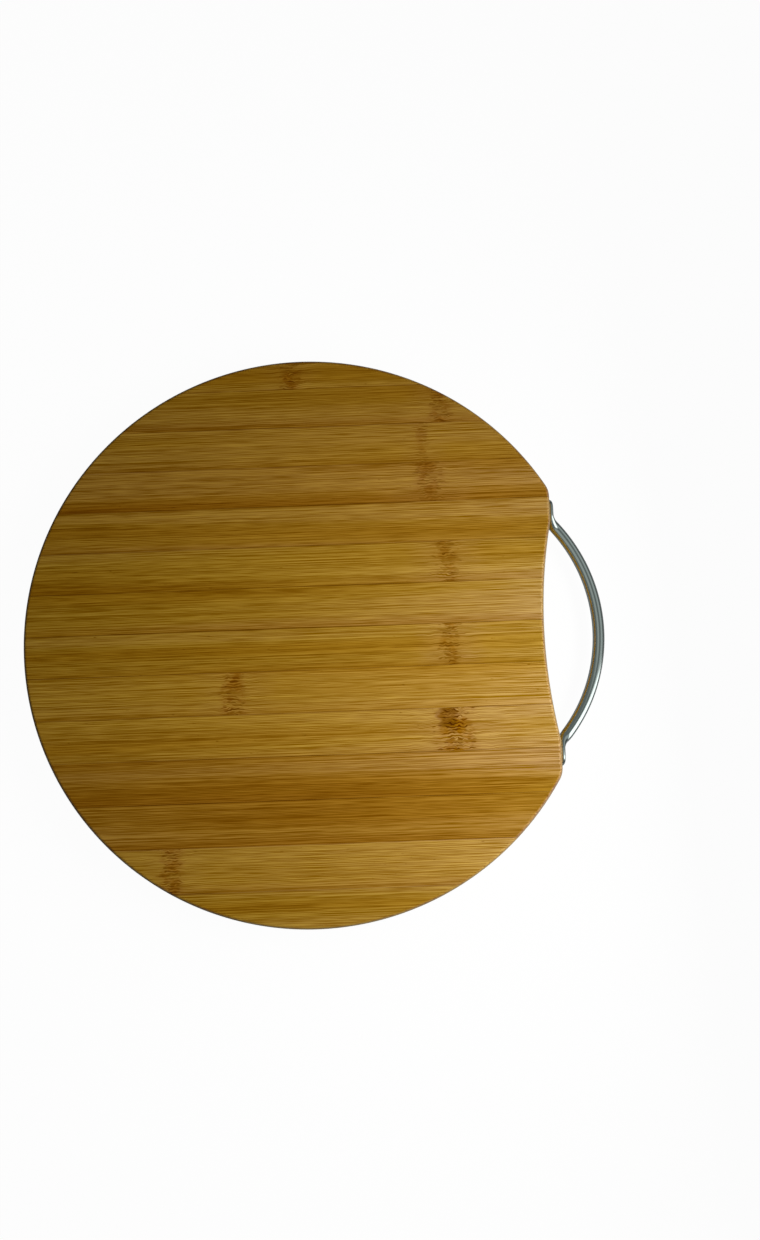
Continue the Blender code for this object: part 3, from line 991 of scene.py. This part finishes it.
@dataclass
class HandleScrews:
    """Two countersunk wood screws, and the holes that they sit in.

    Attributes:
        head_x: Where the tabs' outer faces are, which the heads are let into.
        thread_half: Half the width of the thread's foot.
        thread_root: How deep that foot is sunk into the core.
    """

    head_x: float = 132.5 * MM
    axis_y: float = 65.5 * MM
    axis_z: float = MID_HEIGHT
    length: float = 20 * MM
    shank: float = 3.5 * MM
    core: float = 2.5 * MM
    head: float = 7 * MM
    head_edge: float = 0.15 * MM
    head_sink: float = 0.1 * MM
    neck: float = 0.4 * MM
    point_length: float = 4 * MM
    clearance: float = 0.3 * MM
    lip: float = 0.2 * MM
    thread_pitch: float = 1.6 * MM
    thread_start: float = 5 * MM
    thread_half: float = 0.45 * MM
    thread_root: float = 0.15 * MM
    recess_span: float = 3.8 * MM
    recess_slot: float = 0.9 * MM
    recess_depth: float = 1.4 * MM
    recess_taper: float = 0.55
    steps: int = 48
    thread_steps: int = 24

    def turned(self, name: str, profile: list[Size]) -> Object:
        """Turns a solid about Z from a profile that starts and ends on the axis.

        Args:
            name: The object's name.
            profile: Points as radius and height.

        Returns:
            The solid.
        """
        (radius, height), *rest = profile
        solid = start_point(name, (radius, 0, height))
        with edit_mode(solid):
            for last, point in zip(profile, rest):
                draw_out(point[0] - last[0], 0, point[1] - last[1])
            bpy.ops.mesh.select_all(action="SELECT")
            bpy.ops.mesh.spin(steps=self.steps, angle=2 * math.pi, center=(0, 0, 0), axis=UP)
            bpy.ops.mesh.select_all(action="SELECT")
            bpy.ops.mesh.remove_doubles(threshold=TINY)
            bpy.ops.mesh.dissolve_limited(angle_limit=LEVEL_ANGLE)
        close_up(solid)
        return solid

    def stand(self, obj: Object, side: int, depth: float = 0.0) -> None:
        """Puts an object made along Z in its place in the edge of the board, pointing in.

        Args:
            obj: The object.
            side: 1 for the upper screw and -1 for the lower.
            depth: How far it is sunk.
        """
        place = Matrix.Translation((self.head_x - depth, side * self.axis_y, self.axis_z))
        obj.matrix_world = place @ Matrix.Rotation(math.pi / 2, 4, "Y")
        select_only(obj)
        bpy.ops.object.transform_apply(location=True, rotation=True, scale=True)

    def holes(self) -> list[Object]:
        """Makes the cutters for the screws' holes, with a countersink and an eased lip.

        Returns:
            The cutters, the upper one first.
        """
        head = self.head / 2 + self.clearance
        shank = self.shank / 2 + self.clearance
        brim = head + 4 * self.lip
        profile = [
            (0, MM),
            (brim, MM),
            (brim, TINY),
            (head + self.lip, 0.0),
            (head, -self.lip),
            (shank, shank - head),
            (shank, -self.length + self.point_length),
            (0, -self.length - self.clearance),
        ]
        cutters = []
        for side in (1, -1):
            cutter = self.turned("screw_hole", profile)
            self.stand(cutter, side)
            cutters.append(cutter)
        return cutters

    def blank_screw(self) -> Object:
        """Turns one screw with its head, shank, point and thread, and cuts the cross in its head.

        Returns:
            The screw, along Z with its head's top at the origin.
        """
        head, shank, core, edge = self.head / 2, self.shank / 2, self.core / 2, self.head_edge
        profile = [
            (0, 0),
            (head - edge, 0),
            (head, -edge),
            (head, -2 * edge),
            (shank, shank - head - edge),
            (shank, -self.thread_start + self.neck),
            (core, -self.thread_start),
            (core, -self.length + self.point_length),
            (0, -self.length),
        ]
        screw = self.turned("handle_screw", profile)
        for turn in (0, math.pi / 2):
            arm = self.recess_arm(turn)
            combine(screw, arm)
            bpy.data.objects.remove(arm)
        thread = self.thread()
        combine(screw, thread, "UNION")
        bpy.data.objects.remove(thread)
        close_up(screw)
        return screw

    def recess_arm(self, turn: float) -> Object:
        """Makes the cutter for one arm of the cross: a bar that narrows as it goes down.

        Args:
            turn: The arm's angle about the screw's axis.

        Returns:
            The cutter.
        """
        sizes = (self.recess_span, self.recess_slot, 2 * self.recess_depth)
        arm = new_shape("recess_arm", "cube", size=1.0, rotation=(0, 0, turn), scale=sizes)
        with edit_mode(arm):
            pick(arm, "FACE", lambda face: face.normal.z < -0.5)
            bpy.ops.transform.resize(value=(self.recess_taper, self.recess_taper, 1.0))
        return arm

    def thread(self) -> Object:
        """Winds the thread: a sharp ridge from the shank to the point.

        Returns:
            The thread, along Z.
        """
        low = -self.length + self.point_length
        turns = int((low + self.thread_start) / -self.thread_pitch)
        root = self.core / 2 - self.thread_root
        height = self.shank / 2 - root
        ridge = start_point("screw_thread", (root, 0, low - self.thread_half))
        with edit_mode(ridge):
            for rise in (height, -height):
                draw_out(rise, 0, self.thread_half)
            bpy.ops.mesh.select_all(action="SELECT")
            bpy.ops.mesh.edge_face_add()
        apply_modifier(
            ridge,
            "SCREW",
            axis="Z",
            screw_offset=self.thread_pitch,
            iterations=turns,
            steps=self.thread_steps,
            render_steps=self.thread_steps,
            use_merge_vertices=True,
        )
        with edit_mode(ridge):
            bpy.ops.mesh.fill_holes(sides=3)
        close_up(ridge)
        return ridge

    def build(self, material: Material) -> None:
        """Makes both screws and drives them in.

        Args:
            material: The screws' finish.
        """
        blank = self.blank_screw()
        for name, side in (("upper", 1), ("lower", -1)):
            screw = copy_of(blank, f"handle_screw_{name}_turned")
            self.stand(screw, side, self.head_sink)
            place_piece(screw, f"handle_screw_{name}", material)
        bpy.data.objects.remove(blank)


@dataclass
class Studio:
    """A white floor, a soft lamp beside the board, a grey room with a window, and the camera.

    Attributes:
        floor_glow: How much of the floor's shade is washed out by light.
        floor_in_steel: How bright the floor is in the steel.
        room_light: How much of the room's light falls on things.
    """

    camera_at: Point = (0.01733, -0.04648, 0.41344)
    camera_view: Point = (-0.00838, 0.13869, -0.9903)
    camera_right: Point = (0.99991, -0.00937, -0.00977)
    lens: float = 22.06
    shift: Size = (0.0367, -0.0053)
    camera_near: float = 10 * MM
    lamp_at: Point = (0.27, -0.05, 0.246)
    lamp_aim: Point = (-0.96, -0.05, 0.27)
    lamp_size: float = 0.3
    lamp_power: float = 3.13
    floor_size: float = 8.0
    floor_drop: float = 0.2 * MM
    floor_colour: str = "#F2F2F0"
    floor_glow: float = 0.97
    floor_in_steel: float = 0.2
    walls: str = "#6C706F"
    low_walls: str = "#3A3E3D"
    bright_wall: str = "#ACB0AF"
    pale_ceiling: str = "#A6AAA8"
    backdrop: str = "#FFFFFF"
    window: float = 1.8
    room_light: float = 0.3

    def build(self, bamboo: list[Object]) -> None:
        """Sets up the floor, the light and the camera.

        Args:
            bamboo: The board's strips.
        """
        floor = self.add_floor()
        self.add_room()
        self.add_lamp([*bamboo, floor])
        self.add_camera()
        bpy.context.scene.view_settings.view_transform = "Standard"

    def add_floor(self) -> Object:
        """Lays a white floor that keeps a faint shadow and can be seen through from below.

        Returns:
            The floor.
        """
        place = (0, 0, -self.floor_drop)
        floor = new_shape("studio_floor", "plane", size=self.floor_size, location=place)
        material, _, add = new_finish("white_paper_floor")
        material.node_tree.nodes.clear()
        path = add("LightPath").outputs
        seen = path["Is Camera Ray"]
        for ray in ("Is Glossy Ray", "Is Transmission Ray"):
            seen = add("Math MAXIMUM", seen, path[ray])
        glow = add("Math MULTIPLY", seen, self.floor_glow)
        paper = add("BsdfDiffuse", {"Color": linear(self.floor_colour)})
        bright = add("MapRange", path["Is Glossy Ray"], 0.0, 1.0, 1.0, self.floor_in_steel)
        lit = add("MixShader", glow, paper, add("Emission", {"Strength": bright}))
        below = add("NewGeometry").outputs["Backfacing"]
        shown = add("MixShader", below, lit, add("BsdfTransparent"))
        add("OutputMaterial", {"Surface": shown})
        floor.data.materials.append(material)
        return floor

    def add_room(self) -> None:
        """Gives the light of a dim grey room with a pale ceiling, a bright wall and a window."""
        world = bpy.data.worlds.new("grey_room")
        world.use_nodes = True
        world.node_tree.nodes.clear()
        add = partial(add_node, world.node_tree)
        x, y, z = add("SeparateXYZ", add("TexCoord").outputs["Generated"]).outputs
        window = (self.window, self.window, self.window, 1.0)
        # Each part of the room fades in from an outer to an inner bound of the direction's axes.
        parts = (
            (linear(self.low_walls), ((z, 0.4, 0.15),)),
            (linear(self.bright_wall), ((x, 0.3, 0.6), (z, 0.25, 0.5))),
            (
                linear(self.pale_ceiling),
                ((x, -0.7, -0.55), (x, 0.0, -0.12), (y, 0.35, 0.15), (z, 0.6, 0.75)),
            ),
            (window, ((x, 0.15, 0.35), (y, -0.02, -0.16), (y, -0.65, -0.5), (z, 0.02, 0.15))),
        )
        sky = linear(self.walls)
        for tone, bounds in parts:
            share = 1.0
            for axis, outside, inside in bounds:
                inner = add("MapRange", axis, outside, inside, **FADE)
                share = add("Math MULTIPLY", share, inner)
            sky = add("Mix", {0: share, 6: sky, 7: tone}, data_type="RGBA").outputs[2]
        path = add("LightPath").outputs
        layers = {0: path["Is Camera Ray"], 6: sky, 7: linear(self.backdrop)}
        sky = add("Mix", layers, data_type="RGBA").outputs[2]
        seen = add("Math MAXIMUM", path["Is Camera Ray"], path["Is Glossy Ray"])
        strength = add("MapRange", seen, 0.0, 1.0, self.room_light, 1.0)
        add("OutputWorld", {"Surface": add("Background", {"Color": sky, "Strength": strength})})
        bpy.context.scene.world = world

    def add_lamp(self, lit_things: list[Object]) -> None:
        """Stands the soft lamp beside the board.

        Args:
            lit_things: What it lights. The steel isn't among them, so it has no glare in it.
        """
        lit = bpy.data.collections.new("lit_by_lamp")
        for thing in lit_things:
            lit.objects.link(thing)
        lamp = bpy.data.lights.new("window_lamp", "AREA")
        lamp.shape = "SQUARE"
        lamp.size = self.lamp_size
        lamp.energy = self.lamp_power
        obj = bpy.data.objects.new("window_lamp", lamp)
        bpy.context.scene.collection.objects.link(obj)
        obj.location = self.lamp_at
        obj.rotation_mode = "QUATERNION"
        obj.rotation_quaternion = Vector(self.lamp_aim).to_track_quat("-Z", "Y")
        obj.light_linking.receiver_collection = lit

    def add_camera(self) -> None:
        """Sets the camera above the board, as the photograph was taken."""
        camera = bpy.data.cameras.new("overhead_camera")
        camera.lens = self.lens
        camera.shift_x, camera.shift_y = self.shift
        camera.clip_start = self.camera_near
        obj = bpy.data.objects.new("overhead_camera", camera)
        bpy.context.scene.collection.objects.link(obj)
        back = -Vector(self.camera_view).normalized()
        right = Vector(self.camera_right)
        right = (right - back * right.dot(back)).normalized()
        turn = Matrix((right, back.cross(right), back)).transposed()
        obj.matrix_world = Matrix.Translation(self.camera_at) @ turn.to_4x4()
        bpy.context.scene.camera = obj


def top_strips() -> list[Strip]:
    """Lists the strips of the face that is cut on, from -Y, as they lie on this board."""
    return [
        Strip(Tone.HONEY, 0.2),
        Strip(Tone.PALE, 0.3, Knuckle(-72 * MM, 7 * MM, 0.7)),
        Strip(Tone.TOASTED, 0.5),
        Strip(Tone.TOASTED, 0.6),
        Strip(Tone.PALE, 0.2, Knuckle(74.5 * MM, 12 * MM, 1.0)),
        Strip(Tone.PALE, 0.3, Knuckle(-39.5 * MM, 8 * MM, 0.75)),
        Strip(Tone.HONEY, 0.4, Knuckle(74 * MM, 7 * MM, 0.75)),
        Strip(Tone.HONEY, 0.5),
        Strip(Tone.HONEY, 0.4, Knuckle(75 * MM, 8 * MM, 0.6)),
        Strip(Tone.AMBER, 0.3),
        Strip(Tone.TOASTED, 0.6, Knuckle(67.5 * MM, 10 * MM, 0.6)),
        Strip(Tone.AMBER, 0.3, Knuckle(65 * MM, 5 * MM, 0.4)),
        Strip(Tone.AMBER, 0.5, Knuckle(75.5 * MM, 7 * MM, 0.65)),
        Strip(Tone.PALE, 0.2, Knuckle(-5.5 * MM, 7 * MM, 0.7)),
    ]


def hidden_strips(seed: int) -> list[Strip]:
    """Lists the strips of a panel as they come off the pile.

    Args:
        seed: Fixes the draw.

    Returns:
        The strips, some with a knuckle.
    """
    pile = random.Random(seed)
    strips = []
    for _ in range(STRIP_COUNT):
        tone = pile.choice(list(Tone))
        edge = pile.uniform(0.2, 0.6)
        place = pile.uniform(-120, 120) * MM
        depth = pile.choice((0.0, 0.0, 0.5, 0.7, 0.8))
        strips.append(Strip(tone, edge, Knuckle(place, pile.uniform(5, 8) * MM, depth)))
    return strips


def main() -> None:
    """Builds the board, its handle and screws, and the studio."""
    logging.basicConfig(level=logging.INFO, format="%(name)s: %(message)s")
    board = BoardBlank()
    start = -board.radius
    below, above = -MM, board.thickness + MM
    low, high = LAYER_SEAMS
    gap = SEAM_GAP / 2
    seam, core_seam = 1.4 * MM, STRIP_WIDTH / 2
    along, across = PANEL_TURN, PANEL_TURN - math.pi / 2
    faces = (
        Panel(Layer.TOP, "face_bamboo", high + gap, above, along, seam, start, top_strips()),
        Panel(
            Layer.UNDERSIDE, "face_bamboo", below, low - gap, along, -seam, start, hidden_strips(8)
        ),
    )
    core = Panel(
        Layer.CORE, "core_bamboo", low + gap, high - gap, across, core_seam, start, hidden_strips(5)
    )

    blank = board.build()
    along_x = SteamedBamboo("carbonised_bamboo_sanded_oiled_along_x", along).material()
    along_y = SteamedBamboo("carbonised_bamboo_sanded_oiled_along_y", across).material()
    face_pieces = [piece for panel in faces for piece in panel.build(blank, along_x)]
    core_pieces = core.build(blank, along_y)
    bpy.data.objects.remove(blank)

    screws = HandleScrews()
    holes = screws.holes()
    for piece in core_pieces[-2:]:
        for hole in holes:
            combine(piece, hole)
    handle = CarryingHandle()
    drawn = DrawnSteel("stainless_steel_drawn_polished", handle.bow_centre_x, handle.bow_radius)
    handle.build(holes, drawn.material())
    screws.build(TurnedSteel("stainless_steel_turned", screws.axis_y, screws.axis_z).material())
    for hole in holes:
        bpy.data.objects.remove(hole)

    Studio().build([*face_pieces, *core_pieces])


if __name__ == "__main__":
    main()
